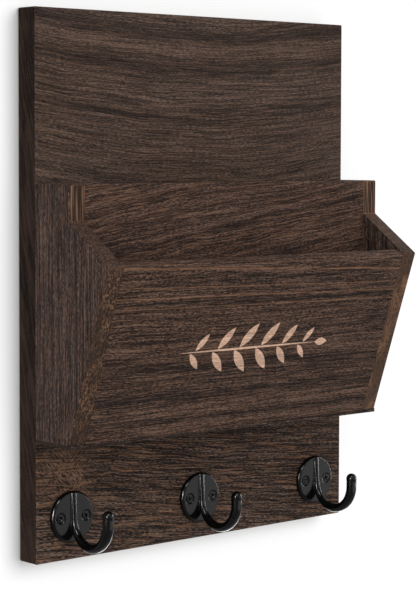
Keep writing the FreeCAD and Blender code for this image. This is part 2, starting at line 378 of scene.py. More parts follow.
def new_material(name):
    material = bpy.data.materials.new(name)
    material.use_nodes = True
    tree = material.node_tree
    return material, tree, tree.nodes["Principled BSDF"]


def object_point(tree):
    return add(tree, "ShaderNodeTexCoord").outputs["Object"]


def board_figure():
    """Node group: a plain-sawn board's growth rings, fibres, flecks and pores.

    Its point is in millimetres: X along the grain, Y across the face, Z into the thickness."""
    if "board figure" in bpy.data.node_groups:
        return bpy.data.node_groups["board figure"]
    group = bpy.data.node_groups.new("board figure", "ShaderNodeTree")
    numbers = {
        "Slope": 0.0,
        "Bow": 0.0,
        "Low Slope": 0.0,
        "Pith Offset": 0.0,
        "Pith Depth": 60.0,
        "Taper": 0.05,
        "Ring Width": 4.0,
        "Waviness": 9.0,
        "Shortness": 1.0,
    }
    group.interface.new_socket("Point", in_out="INPUT", socket_type="NodeSocketVector")
    for name, default in numbers.items():
        socket = group.interface.new_socket(name, in_out="INPUT", socket_type="NodeSocketFloat")
        socket.default_value = default
    for name in ("Across", "Rings", "Fibre", "Hair", "Fleck", "Pore", "Tone"):
        group.interface.new_socket(name, in_out="OUTPUT", socket_type="NodeSocketFloat")
    entry = group.nodes.new("NodeGroupInput")
    leave = group.nodes.new("NodeGroupOutput")
    point = entry.outputs["Point"]

    axes = add(group, "ShaderNodeSeparateXYZ", {0: point})
    along = axes.outputs["X"]
    tilted = times_plus(group, along, entry.outputs["Slope"], axes.outputs["Y"])
    low = spread(group, axes.outputs["Y"], *LOW_PART)
    square = times(group, along, along)
    bow = times(group, entry.outputs["Bow"], spread(group, low, 0.0, 1.0, 1.0, 0.0))
    tilted = times_plus(group, square, bow, tilted)
    low = times(group, low, entry.outputs["Low Slope"])
    tilted = times_plus(group, along, low, tilted)
    ripple = centred_noise(group, point, (0.035, 0.10, 0.10), 2.0)
    tilted = times_plus(group, ripple, 3.2, tilted)
    group.links.new(tilted, leave.inputs["Across"])
    drift = centred_noise(group, point, (0.008, 0.017, 0.017), 1.0)
    across = times_plus(group, drift, entry.outputs["Waviness"], tilted)
    off_pith = maths(group, "SUBTRACT", across, entry.outputs["Pith Offset"])
    deep = maths(group, "ADD", axes.outputs["Z"], entry.outputs["Pith Depth"])
    square = times_plus(group, deep, deep, times(group, off_pith, off_pith))
    radius = times_plus(group, along, entry.outputs["Taper"], maths(group, "SQRT", square))
    ring_at = maths(group, "DIVIDE", radius, entry.outputs["Ring Width"])
    inputs = {"W": ring_at, "Scale": 1.0, "Detail": 3.0, "Roughness": 0.6}
    rings = add(group, "ShaderNodeTexNoise", inputs, noise_dimensions="1D").outputs["Fac"]
    group.links.new(spread(group, rings, 0.30, 0.70), leave.inputs["Rings"])

    along = times(group, along, entry.outputs["Shortness"])
    bent = add(group, "ShaderNodeCombineXYZ", {0: along, 1: across, 2: deep}).outputs[0]
    grain = (
        ("Fibre", (0.045, 1.35, 1.35), 2.0, 0.70, 0.37, 0.63),
        ("Hair", (0.800, 1.75, 1.75), 1.0, 0.65, 0.41, 0.59),
        ("Fleck", (0.110, 1.05, 1.05), 2.0, 0.60, 0.54, 0.65),
        ("Pore", (0.090, 1.15, 1.15), 2.0, 0.60, 0.54, 0.65),
    )
    for name, scale, detail, roughness, low, high in grain:
        inputs = {0: bent, 1: (0.0, 37.0 * len(name), 0.0)}
        shifted = add(group, "ShaderNodeVectorMath", inputs, operation="ADD").outputs[0]
        value = noise(group, shifted, scale, detail, roughness, 0.15)
        group.links.new(spread(group, value, low, high), leave.inputs[name])
    tone = noise(group, point, (0.009, 0.040, 0.040), 2.0)
    group.links.new(spread(group, tone, 0.32, 0.68), leave.inputs["Tone"])
    return group


def facing(tree, direction, low, high):
    """How squarely the surface faces a direction, mapped from low..high to 0..1."""
    normal = add(tree, "ShaderNodeNewGeometry").outputs["Normal"]
    squarely = add(tree, "ShaderNodeVectorMath", {0: normal, 1: direction}, operation="DOT_PRODUCT")
    return spread(tree, squarely.outputs["Value"], low, high)


def blotch(tree, point, x, y, wide, high):
    """1 at the middle of a soft oval on the board's face, 0 outside it."""
    shifted = add(tree, "ShaderNodeVectorMath", {0: point, 1: (x, y, 0.0)}, operation="SUBTRACT")
    scaled = stretched(tree, shifted.outputs[0], (1.0 / wide, 1.0 / high, 0.0))
    far = add(tree, "ShaderNodeVectorMath", {0: scaled}, operation="LENGTH").outputs["Value"]
    frayed = maths(tree, "SUBTRACT", noise(tree, point, (0.035, 0.06, 0.06), 3.0, 0.6), 0.5)
    return spread(tree, times_plus(tree, frayed, 1.2, far), 1.0, 0.45)


def hatching(tree, point, degrees):
    """Short strokes across the grain, as round a knot."""
    return spread(tree, noise(tree, turned(tree, point, "Z", degrees), (0.28, 1.25, 1.25), 1.0), 0.38, 0.62)


def stains():
    return bpy.context.scene.organizer_boards


def board_axes(tree, place, origin, turn, look):
    """The point on the board's own axes, how far it lies along and up, and the wood's figure.

    It is in millimetres, but its unit along the grain is as many of them as the look's "long"."""
    unit = (MM * look.get("long", 1.0), MM, MM)
    inputs = {"Vector": place, "Location": origin, "Rotation": turn, "Scale": unit}
    point = add(tree, "ShaderNodeMapping", inputs, vector_type="TEXTURE").outputs[0]
    axes = add(tree, "ShaderNodeSeparateXYZ", {0: point})
    figure = add(tree, "ShaderNodeGroup", {"Point": point}, node_tree=board_figure())
    for socket in figure.inputs:
        if socket.name in look:
            socket.default_value = look[socket.name]
    return point, axes.outputs["X"], axes.outputs["Y"], figure.outputs


def stain_and_shade_level(tree, along, up, figure, look):
    """How light the stain came out: rings, fibres, hair, the look's contrast and bands, some painted shade.
    """
    level = times(tree, figure["Rings"], look.get("ring share", 0.12))
    for name, share in (("Fibre", 0.40), ("Hair", 0.42), ("Tone", 0.06)):
        level = times_plus(tree, figure[name], share, level)
    if "contrast" in look:
        height, below, above = look["contrast"]
        contrast = spread(tree, up, height - FADE, height + FADE, below, above)
        level = times_plus(tree, maths(tree, "SUBTRACT", level, 0.5), contrast, 0.5)
    level = maths(tree, "ADD", level, look.get("lift", 0.0))
    # Each band lightens or darkens the level; the backboard's dark band under the pocket is painted shade.
    for y, slope, half_width, strength, stain in look.get("bands", ()):
        line = times_plus(tree, along, -slope, figure["Across"])
        change = strength if stain == "light" else -strength
        level = maths(tree, "ADD", level, spread(tree, away(tree, line, y), half_width, 0.0, 0.0, change))
    return level


def stained(tree, level, tone, look):
    """The stain's colour at a level, tinted as it came out on this board."""
    tint = look.get("tint", (1.0, 1.0, 1.0))
    ramp = tree.nodes.new("ShaderNodeValToRGB")
    stops = ramp.color_ramp.elements
    stops[0].position = 0.22
    stops[1].position = 0.80
    stops.new(0.5)
    for stop, stain in zip(stops, (stains().dark, stains().middle, stains().light)):
        stop.color = (*(share * value for share, value in zip(tint, stain)), 1.0)
    tree.links.new(level, ramp.inputs[0])
    return mix_colour(tree, times(tree, tone, 0.7), ramp.outputs[0], (0.92, 1.0, 1.10), "MULTIPLY")


def mottled(tree, point, colour, spot):
    """Lay one mottled spot over the colour: hatching that changes sides from patch to patch."""
    *oval, strength, warmth = spot
    side = spread(tree, noise(tree, point, (0.06, 0.05, 0.05), 1.0), 0.47, 0.53)
    strokes = {0: side, 2: hatching(tree, point, 48), 3: hatching(tree, point, -42)}
    feather = add(tree, "ShaderNodeMix", strokes).outputs[0]
    raised = mix_colour(tree, warmth, stains().light, stains().copper)
    feather = mix_colour(tree, feather, stains().dark, raised)
    share = times(tree, blotch(tree, point, *oval), strength)
    return mix_colour(tree, share, colour, feather)


def flecked(tree, up, figure, colour, look):
    """Lay the warm flecks and then the dark pores over the colour."""
    fleck = times(tree, figure["Fleck"], look.get("fleck", 0.5))
    pore = figure["Pore"]
    warm_share = look.get("copper", 0.5)
    if "warm below" in look:
        low = spread(tree, up, look["warm below"] + FADE, look["warm below"] - FADE)
        fleck = times(tree, fleck, spread(tree, low, 0.0, 1.0, 1.0, look["fleck below"]))
        warm_share = spread(tree, low, 0.0, 1.0, warm_share, 1.0)
        pore = times(tree, pore, spread(tree, low, 0.0, 1.0, 1.0, look["pore below"]))
    warm = mix_colour(tree, warm_share, stains().light, stains().copper)
    colour = mix_colour(tree, maths(tree, "MINIMUM", fleck, 1.0), colour, warm)
    dark_share = times(tree, pore, look.get("pore", 0.6))
    return mix_colour(tree, maths(tree, "MINIMUM", dark_share, 1.0), colour, stains().dark), pore


def lined(tree, point, along, up, colour, line):
    """Lay one thin wavering line over the colour, faded out beyond its reach."""
    y, slope, half_width, strength, stain, *reach = line
    waver = times_plus(tree, centred_noise(tree, point, (0.03, 0.0, 0.0), 2.0), 2.0, up)
    waver = times_plus(tree, along, -slope, waver)
    share = spread(tree, away(tree, waver, y), half_width, 0.0)
    broken = spread(tree, noise(tree, point, (0.06, 1.1, 1.1), 2.0, 0.6), 0.30, 0.60)
    share = times(tree, times(tree, share, broken), strength)
    for end, way in zip(reach, (6.0, -6.0)):
        share = times(tree, share, spread(tree, along, end - way, end + way))
    return mix_colour(tree, share, colour, getattr(stains(), stain))


def sawn_ends(tree, point, up, colour, look):
    """Darken the sawn ends, with streaks that run down them. Also give where they are."""
    sides = [facing(tree, (way, 0, 0), 0.75, 0.98) for way in (1, -1)]
    end = times(tree, maths(tree, "MAXIMUM", *sides), look["end darkness"])
    streaks = noise(tree, turned(tree, point, "X", 14), (0.02, 0.035, 0.75), 3.0, 0.65, 0.6)
    cloud = spread(tree, noise(tree, point, (0.0, 0.020, 0.05), 2.0), 0.35, 0.65, -0.08, 0.50)
    streaks = times_plus(tree, spread(tree, streaks, 0.43, 0.60), 0.85, cloud)
    middle = spread(tree, away(tree, up, 25.0), 40.0, 85.0, -look.get("end dark middle", 0.0), 0.0)
    streaks = maths(tree, "ADD", streaks, middle, clamp=True)
    streaks = mix_colour(tree, streaks, stains().end_grain, stains().middle)
    return mix_colour(tree, end, colour, streaks), end


def worn_edge(tree, place, colour, look):
    """Give a cheek's front edge copper streaks where it is upright and a copper mottle elsewhere."""
    upright = facing(tree, (0, -1, 0), 0.965, 0.99)
    streaks = spread(tree, noise(tree, place, (700.0, 22.0, 22.0), 2.0, 0.6), 0.48, 0.60)
    mottle_from = look.get("mottle from", 0.46)
    mottle = noise(tree, place, (900.0, 520.0, 520.0), 3.0, 0.6, 0.5)
    patch = spread(tree, noise(tree, place, (60.0, 45.0, 45.0), 2.0, 0.5, 1.0), 0.42, 0.56, 0.3, 1.0)
    mottle = times(tree, spread(tree, mottle, mottle_from, mottle_from + 0.22), patch)
    kinds = {0: upright, 2: mottle, 3: times(tree, streaks, 0.95)}
    pattern = add(tree, "ShaderNodeMix", kinds).outputs[0]
    between = mix_colour(tree, look.get("edge lift", 0.0), stains().edge, stains().middle)
    edge = times(tree, facing(tree, (0, -1, 0), 0.5, 0.75), look["edge warmth"])
    return mix_colour(tree, edge, colour, mix_colour(tree, pattern, between, stains().copper))


def board_material(name, origin, turn, look, bare=False):
    """A stained board. origin (m) and turn (radians) carry the object's axes to the board's own."""
    material, tree, shader = new_material(name)
    place = object_point(tree)
    point, along, up, figure = board_axes(tree, place, origin, turn, look)
    level = stain_and_shade_level(tree, along, up, figure, look)
    pore = figure["Pore"]
    specular = shader.inputs["Specular IOR Level"]
    specular.default_value = 0.08
    if bare:
        shade = spread(tree, level, 0.25, 0.8, 0.62, 1.05)
        shade = times(tree, shade, spread(tree, pore, 0.0, 1.0, 1.0, 0.8))
        colour = mix_colour(tree, 1.0, stains().bare, grey(tree, shade), "MULTIPLY")
    else:
        colour = stained(tree, level, figure["Tone"], look)
        for spot in look.get("mottled", ()):
            colour = mottled(tree, point, colour, spot)
        colour, pore = flecked(tree, up, figure, colour, look)
        for line in look.get("lines", ()):
            colour = lined(tree, point, along, up, colour, line)
        if "end darkness" in look:
            colour, end = sawn_ends(tree, point, up, colour, look)
            tree.links.new(spread(tree, end, 0.0, 1.0, 0.08, 0.02), specular)
        if "edge warmth" in look:
            colour = worn_edge(tree, place, colour, look)
    tree.links.new(colour, shader.inputs["Base Color"])
    tree.links.new(spread(tree, figure["Fibre"], 0.0, 1.0, 0.68, 0.50), shader.inputs["Roughness"])
    height = times_plus(tree, pore, -0.9, figure["Fibre"])
    bumped(tree, shader, times_plus(tree, figure["Hair"], 0.4, height), 0.7, 0.00025)
    return material


def black_coat():
    """Black coating on cast metal: satin, with a faint orange-peel surface."""
    if "black coat" in bpy.data.materials:
        return bpy.data.materials["black coat"]
    material, tree, shader = new_material("black coat")
    place = object_point(tree)
    cloud = noise(tree, place, (300.0, 300.0, 300.0), 3.0)
    shade = grey(tree, spread(tree, cloud, 0.3, 0.7, 0.75, 1.35))
    colour = mix_colour(tree, 1.0, bpy.context.scene.organizer_hooks.coat, shade, "MULTIPLY")
    tree.links.new(colour, shader.inputs["Base Color"])
    tree.links.new(spread(tree, cloud, 0.3, 0.7, 0.13, 0.18), shader.inputs["Roughness"])
    shader.inputs["Specular IOR Level"].default_value = 0.07
    bumped(tree, shader, noise(tree, place, (600.0, 600.0, 600.0), 2.0), 0.05, 0.00003)
    return material


def zinc_steel():
    """Zinc-plated steel: dull bright, with faint spangle and drawing lines."""
    if "zinc steel" in bpy.data.materials:
        return bpy.data.materials["zinc steel"]
    material, tree, shader = new_material("zinc steel")
    place = object_point(tree)
    cell_place = stretched(tree, place, (500.0, 500.0, 350.0))
    cells = add(tree, "ShaderNodeTexVoronoi", {"Vector": cell_place})
    lines = noise(tree, place, (2500.0, 400.0, 90.0), 2.0)
    tone = times_plus(tree, lines, 0.25, times(tree, cells.outputs[0], 0.2))
    colour = mix_colour(tree, spread(tree, tone, 0.0, 0.4), (0.42, 0.42, 0.43), (0.78, 0.78, 0.76))
    tree.links.new(colour, shader.inputs["Base Color"])
    shader.inputs["Metallic"].default_value = 1.0
    tree.links.new(spread(tree, tone, 0.0, 0.4, 0.28, 0.48), shader.inputs["Roughness"])
    bumped(tree, shader, lines, 0.2, 0.00005)
    return material


def bare_dowel_wood():
    material, tree, shader = new_material("bare dowel wood")
    grain = noise(tree, object_point(tree), (90.0, 900.0, 900.0), 3.0)
    colour = mix_colour(tree, grain, (0.42, 0.27, 0.14), (0.62, 0.44, 0.26))
    tree.links.new(colour, shader.inputs["Base Color"])
    shader.inputs["Roughness"].default_value = 0.7
    bumped(tree, shader, grain, 0.3, 0.0001)
    return material


# How each board was cut from its log, and the marks that its face shows, in millimetres. A band or a
# line is (height at the middle, slope, half width, strength, stain), and a line may have a reach. A
# mottled spot is (x, y, half its width, half its height, strength, warmth). Some marks are painted
# light: the backboard's dark band under the pocket is painted shade, and the light lines along the
# front panel's top and bottom edges are painted highlight, the top one over paler worn wood.

UPRIGHT_SIDE = (math.radians(90), math.radians(-90), 0.0)

BACKBOARD_LOOK = {
    "lift": 0.02,
    "ring share": 0.21,
    "Bow": -0.0006,
    "Low Slope": 0.10,
    "Pith Offset": 40.0,
    "Pith Depth": 55.0,
    "Taper": 0.02,
    "Ring Width": 2.8,
    "Waviness": 9.0,
    "contrast": (-92.0, 1.10, 0.46),
    "Shortness": 0.45,
    "fleck": 0.26,
    "copper": 0.35,
    "pore": 0.45,
    "warm below": -92.0,
    "fleck below": 1.9,
    "pore below": 1.9,
    "bands": (
        (154.0, 0.0, 8.0, 0.13, "dark"),
        (146.5, 0.0, 6.0, 0.07, "light"),
        (133.5, 0.0, 7.0, 0.12, "dark"),
        (104.0, 0.0, 6.0, 0.08, "dark"),
        # Painted shade: the pocket's shadow on the board below it, painted as a dark band.
        (-116.0, 0.0, 36.0, 0.21, "dark"),
        (-160.0, 0.0, 28.0, 0.11, "dark"),
    ),
    "lines": (
        (-119.0, -0.02, 0.7, 0.8, "copper", -84.0, -56.0),
        (-115.0, -0.17, 0.7, 0.8, "copper", -56.0, -36.0),
        (-120.0, -0.08, 0.6, 0.6, "copper", -40.0, -14.0),
    ),
    "mottled": (
        (-108.0, -114.0, 29.0, 23.0, 0.85, 0.3),
        (90.0, 150.0, 44.0, 9.0, 0.32, 0.0),
        (-15.0, 146.0, 60.0, 7.0, 0.25, 0.0),
    ),
    "end darkness": 0.92,
    "end dark middle": 0.22,
}
CHEEK_LOOK = {
    "tint": (0.96, 0.90, 0.93),
    "long": 3.0,
    "Shortness": 1.5,
    "contrast": (0.0, 0.70, 0.70),
    "ring share": 0.26,
    "lift": -0.07,
    "Pith Offset": -30.0,
    "Pith Depth": 70.0,
    "Taper": 0.01,
    "Ring Width": 3.0,
    "Waviness": 3.0,
    "fleck": 0.30,
    "copper": 0.35,
    "pore": 0.5,
    "edge warmth": 0.8,
}
RIGHT_CHEEK_LOOK = {
    **CHEEK_LOOK,
    "tint": (0.87, 0.88, 0.95),
    "Pith Offset": 24.0,
    "edge lift": 0.5,
    "mottle from": 0.34,
}
DIVIDER_LOOK = {
    "contrast": (0.0, 0.64, 0.64),
    "ring share": 0.24,
    "lift": -0.025,
    "Shortness": 0.50,
    "tint": (0.97, 0.87, 0.84),
    "Slope": -0.12,
    "Pith Offset": 20.0,
    "Pith Depth": 50.0,
    "Taper": -0.03,
    "Ring Width": 2.6,
    "Waviness": 10.0,
    "fleck": 0.45,
    "copper": 0.6,
    "pore": 0.55,
    "bands": (
        (33.0, 0.0, 4.0, 0.20, "dark"),
        (15.0, 0.0, 6.0, 0.25, "dark"),
    ),
}
FRONT_LOOK = {
    "tint": (0.97, 0.86, 0.80),
    "contrast": (-56.0, 0.82, 1.04),
    "lift": -0.08,
    "ring share": 0.27,
    "Shortness": 0.50,
    "Pith Offset": 10.0,
    "Pith Depth": 45.0,
    "Taper": 0.01,
    "Ring Width": 2.2,
    "Waviness": 4.0,
    "fleck": 0.34,
    "copper": 0.4,
    "pore": 0.6,
    "bands": (
        (-9.0, -0.035, 2.5, 0.14, "dark"),
        (-25.5, -0.015, 2.4, 0.20, "dark"),
        (-58.5, -0.05, 6.0, 0.12, "light"),
        (-68.5, -0.02, 4.5, 0.12, "dark"),
        (-87.0, 0.0, 5.0, 0.13, "dark"),
        (-97.0, 0.0, 6.0, 0.10, "light"),
        (-102.5, -0.01, 2.2, 0.15, "dark"),
        (-108.0, 0.0, 4.0, 0.10, "light"),
    ),
    "lines": (
        # Partly paler worn wood, partly painted highlight: a light line just under the lit top edge.
        (-1.2, 0.0, 0.8, 0.45, "light"),
        (-5.0, -0.038, 1.0, 0.95, "copper"),
        (-16.1, -0.024, 0.6, 0.75, "copper"),
        (-22.2, -0.018, 0.65, 0.85, "copper"),
        (-28.5, -0.013, 0.55, 0.65, "copper"),
        # Painted highlight: a copper line along the bottom edge, where the edge catches the light.
        (-112.0, 0.0, 0.6, 0.7, "copper"),
    ),
}
BOTTOM_LOOK = {
    "Pith Offset": 0.0,
    "Pith Depth": 80.0,
    "Taper": 0.02,
    "Ring Width": 3.0,
    "Waviness": 4.0,
    "lift": -0.15,
    "fleck": 0.15,
    "end darkness": 0.5,
}


def panel_top():
    """Middle of the front panel's outer top edge."""
    low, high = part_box("front_panel")
    nose = min(frame["nodes"]["front_panel"].data.vertices, key=lambda v: v.co.y).co
    return Vector(((low.x + high.x) / 2, nose.y, nose.z))


def panel_lean():
    """How far the front panel leans out from upright, from the normal of its outer face."""
    faces = [face for face in frame["nodes"]["front_panel"].data.polygons if face.normal.y < -0.9]
    return math.asin(-max(faces, key=lambda face: face.area).normal.z)


def front_turn():
    """Turns the wall's axes to the front panel's: X along it, Y up its slope, Z out of its face."""
    return (math.radians(90) + panel_lean(), 0.0, 0.0)


class ORGANIZER_OT_stain_backboard(bpy.types.Operator):
    """Stain the backboard"""

    bl_idname = "organizer.stain_backboard"
    bl_label = "Stain Backboard"

    def execute(self, context):
        stained_wood = board_material("stained backboard", (0, 0, 0), OUT_OF_WALL, BACKBOARD_LOOK)
        finish_node("backboard", stained_wood)
        return {"FINISHED"}


class ORGANIZER_OT_stain_pocket(bpy.types.Operator):
    """Stain the pocket's cheeks, divider, front panel and bottom panel"""

    bl_idname = "organizer.stain_pocket"
    bl_label = "Stain Pocket"

    def execute(self, context):
        boards = (
            ("side_panel_left", "stained left cheek", (-0.13, -0.03, 0.0), UPRIGHT_SIDE, CHEEK_LOOK),
            ("side_panel_right", "stained right cheek", (0.13, -0.03, 0.3), UPRIGHT_SIDE, RIGHT_CHEEK_LOOK),
            ("divider", "stained divider", (0.3, -0.04, 0), OUT_OF_WALL, DIVIDER_LOOK),
            ("front_panel", "stained front panel", panel_top(), front_turn(), FRONT_LOOK),
            ("bottom_panel", "stained bottom panel", (0.5, 0, -0.09), (0, 0, 0), BOTTOM_LOOK),
        )
        for node, name, origin, turn, look in boards:
            finish_node(node, board_material(name, origin, turn, look))
        return {"FINISHED"}


class ORGANIZER_OT_finish_fixings(bpy.types.Operator):
    """Give the dowels, brads, back screws and hanger plates their bare wood and zinc"""

    bl_idname = "organizer.finish_fixings"
    bl_label = "Finish Hidden Fixings"

    def execute(self, context):
        finish_node("dowels", bare_dowel_wood())
        plates = ("hanger_plate_left", "hanger_plate_right")
        for node in ("bottom_brads", "carcass_screws", "hanger_screws", *plates):
            finish_node(node, zinc_steel())
        return {"FINISHED"}


def hook_seat(node):
    """Centre of a hook's round base on the board."""
    low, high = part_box(node)
    radius = (high.x - low.x) / 2
    return Vector(((low.x + high.x) / 2, high.y, high.z - radius))


def countersink(x, z, front):
    """A cutter for one countersink in the hook's base."""
    bpy.ops.mesh.primitive_cone_add(
        vertices=48,
        radius1=COUNTERSINK_RADII[0],
        radius2=COUNTERSINK_RADII[1],
        depth=COUNTERSINK_DEPTH,
        location=(x, front + COUNTERSINK_DEPTH / 2 - COUNTERSINK_STANDOUT, z),
        rotation=OUT_OF_WALL,
    )
    return bpy.context.object


def drum(vertices, radius, depth, place):
    """A disc that lies along the wall, its middle at a place."""
    start_clean()
    bpy.ops.mesh.primitive_cylinder_add(
        vertices=vertices,
        radius=radius,
        depth=depth,
        location=place,
        rotation=OUT_OF_WALL,
    )
    apply_place(bpy.context.object)
    return bpy.context.object


def cast_base(seat):
    """The round base: a low drum, its rim bevelled, with two countersinks."""
    base = drum(128, DISC_RADIUS, DISC_DRUM, seat - Vector((0, DISC_DRUM / 2, 0)))
    edit_faces(base, TO_ROOM)
    draw_out(-DISC_RIM, DISC_FACE_RADIUS / DISC_RADIUS, seat)
    for side in (-1, 1):
        start_clean()
        cut_away(base, countersink(seat.x + side * SCREW_OFFSET, seat.z, seat.y - DISC_DRUM - DISC_RIM))
    return base


def cast_arm(seat):
    """Rib, half-circle arm and upright end, extruded ring by ring from one rounded square."""
    centre = seat - Vector((0, ARM_STANDOFF, ARM_DROP))
    start = centre + Vector((0, math.cos(RIB_LEAN), -math.sin(RIB_LEAN))) * ARM_RADIUS
    rise = seat.z + RIB_TOP - start.z
    top = start + Vector((0, math.tan(RIB_LEAN) * rise, rise))
    start_clean()
    bpy.ops.mesh.primitive_plane_add(size=RIB_WIDTH, location=top)
    arm = bpy.context.object
    apply_place(arm)
    edit_faces(arm)
    bpy.ops.mesh.bevel(offset=RIB_CORNER, affect="VERTICES", segments=6)
    bpy.ops.mesh.extrude_region_move(TRANSFORM_OT_translate={"value": start - top})
    turn = (math.pi - RIB_LEAN) / ARM_STEPS
    half = ARM_STEPS // 2
    wider = (ARM_WIDTH / RIB_WIDTH) ** (1 / half)
    thicker = (ARM_THICKNESS / RIB_WIDTH) ** (1 / half)
    for step in range(1, ARM_STEPS + 1):
        bpy.ops.mesh.extrude_region_move(TRANSFORM_OT_translate={"value": (0, 0, 0)})
        bpy.ops.transform.rotate(value=turn, orient_axis="X", center_override=centre)
        if step <= half:
            angle = RIB_LEAN + step * turn
            spot = centre + Vector((0, math.cos(angle), -math.sin(angle))) * ARM_RADIUS
            bpy.ops.transform.resize(value=(wider, thicker, thicker), center_override=spot)
    bpy.ops.mesh.extrude_region_move(TRANSFORM_OT_translate={"value": (0, 0, TIP_RISE)})
    tip = centre + Vector((0, -ARM_RADIUS, TIP_RISE))
    start_clean()
    bpy.ops.mesh.primitive_uv_sphere_add(segments=48, ring_count=24, radius=TIP_RADIUS, location=tip)
    ball = bpy.context.object
    apply_place(ball)
    return arm, ball


class ORGANIZER_OT_cast_hooks(bpy.types.Operator):
    """Cast the three hooks: base, rib, arm and rounded end in one piece"""

    bl_idname = "organizer.cast_hooks"
    bl_label = "Cast Hooks"

    def execute(self, context):
        settings = context.scene.organizer_hooks
        middle = hook_seat("hook_middle")
        pieces = [cast_base(middle), *cast_arm(middle)]
        for piece in pieces:
            outward(piece)
        hook = join(pieces, "cast_hook_middle")
        apply_modifier(hook, "REMESH", mode="VOXEL", voxel_size=settings.grain)
        apply_modifier(hook, "SMOOTH", factor=0.5, iterations=settings.soften)
        if len(hook.data.polygons) < 1000:
            raise RuntimeError("the cast hook came out empty")
        activate(hook)
        bpy.ops.object.shade_smooth()
        for node in HOOK_NODES:
            if node == "hook_middle":
                piece = hook
            else:
                piece = copy_shifted(hook, "cast_" + node, hook_seat(node) - middle)
            put_on(piece, node, black_coat())
        return {"FINISHED"}


def screw_model(place, turn):
    """One flat-head screw seen from its head: domed head, cone, plain shank, tapered cross recess."""
    screw = drum(64, HEAD_RADIUS, HEAD_RIM, place + Vector((0, HEAD_RIM / 2, 0)))
    edit_faces(screw, TO_ROOM)
    for length, share in HEAD_STEPS:
        draw_out(-length, share, place)
    edit_faces(screw, TO_WALL)
    for length, share in SHANK_STEPS:
        draw_out(length, share, place)
    for quarter in (0.0, math.radians(90)):
        start_clean()
        bpy.ops.mesh.primitive_cube_add(size=MM, location=place - Vector((0, 0.2 * MM, 0)))
        bar = bpy.context.object
        apply_place(bar)
        edit_faces(bar)
        bpy.ops.transform.resize(value=RECESS_BAR, center_override=place)
        edit_faces(bar, TO_WALL)
        bpy.ops.transform.resize(value=RECESS_TAPER, center_override=place)
        edit_faces(bar)
        bpy.ops.transform.rotate(value=turn + quarter, orient_axis="Y", center_override=place)
        cut_away(screw, bar)
    apply_modifier(screw, "BEVEL", width=0.12 * MM, segments=2, limit_method="ANGLE")
    activate(screw)
    bpy.ops.object.shade_smooth_by_angle(angle=math.radians(40))
    return screw


class ORGANIZER_OT_make_hook_screws(bpy.types.Operator):
    """Make the six black cross-recess screws that hold the hooks"""

    bl_idname = "organizer.make_hook_screws"
    bl_label = "Make Hook Screws"

    def execute(self, context):
        screws = []
        for node in HOOK_NODES:
            for side, degrees in zip((-1, 1), RECESS_TURNS[node]):
                place = hook_seat(node) + Vector((side * SCREW_OFFSET, -HEAD_STANDOFF, 0))
                screws.append(screw_model(place, math.radians(degrees)))
        put_on(join(screws, "hook_screw_set"), "hook_screws", black_coat())
        return {"FINISHED"}


def flat_curve(name):
    """An empty curve, filled on its plane."""
    curve = bpy.data.curves.new(name, "CURVE")
    curve.dimensions = "2D"
    curve.fill_mode = "BOTH"
    return curve


def leaf_outline(curve, foot, tip, width):
    """Add one leaf to a flat curve: two points joined by two bowed sides."""
    spline = curve.splines.new("BEZIER")
    spline.bezier_points.add(1)
    spline.use_cyclic_u = True
    spline.resolution_u = 16
    line = tip - foot
    side = Vector((-line.y, line.x, 0)).normalized() * width * 0.68
    ends = ((foot, line * 0.3, side), (tip, line * -0.35, -side))
    for bezier, (spot, inward, bow) in zip(spline.bezier_points, ends):
        bezier.handle_left_type = "FREE"
        bezier.handle_right_type = "FREE"
        bezier.co = spot
        bezier.handle_right = spot + inward + bow
        bezier.handle_left = spot + inward - bow


class ORGANIZER_OT_burn_sprig(bpy.types.Operator):
    """Burn a plain sprig of leaves into the front panel's stain"""

    bl_idname = "organizer.burn_sprig"
    bl_label = "Burn Sprig"

    def execute(self, context):
        settings = context.scene.organizer_sprig
        half = settings.length / 2
        pairs = settings.leaf_pairs
        leaves = flat_curve("sprig_leaves")
        for i in range(pairs):
            share = (i + 0.35) / pairs
            size = 0.62 + 0.38 * math.sin(math.pi * min(1.0, share * 1.15))
            for sign in (-1, 1):
                x = -half * 0.94 + share * 2 * half * 0.86 + (LEAF_STAGGER if sign > 0 else 0)
                foot = Vector((x, sign * 0.8 * MM, 0))
                reach = Vector((LEAF_LENGTH, sign * LEAF_RISE, 0)) * size
                leaf_outline(leaves, foot, foot + reach, LEAF_WIDTH * size)
        leaf_outline(leaves, Vector((half * 0.83, 0, 0)), Vector((half, 0, 0)), TIP_LEAF_WIDTH)
        stem = flat_curve("sprig_stem")
        leaf_outline(stem, Vector((-half, 0, 0)), Vector((half * 0.86, 0, 0)), STEM_WIDTH)
        pieces = []
        for curve in (leaves, stem):
            piece = bpy.data.objects.new(curve.name, curve)
            context.scene.collection.objects.link(piece)
            activate(piece)
            bpy.ops.object.convert(target="MESH")
            pieces.append(context.object)
        sprig = join(pieces, "burnt_sprig")
        apply_modifier(sprig, "SOLIDIFY", thickness=SPRIG_THICKNESS, offset=0.0)
        outward(sprig)
        lean = panel_lean()
        down = Vector((0, math.sin(lean), -math.cos(lean)))
        turn = Matrix.Rotation(front_turn()[0], 4, "X")
        centre = panel_top() + down * settings.drop + Vector((SPRIG_SHIFT, 0, 0))
        sprig.data.transform(Matrix.Translation(centre) @ turn)
        bare = board_material("bare sprig wood", panel_top(), front_turn(), FRONT_LOOK, bare=True)
        put_on(sprig, None, bare)
        return {"FINISHED"}


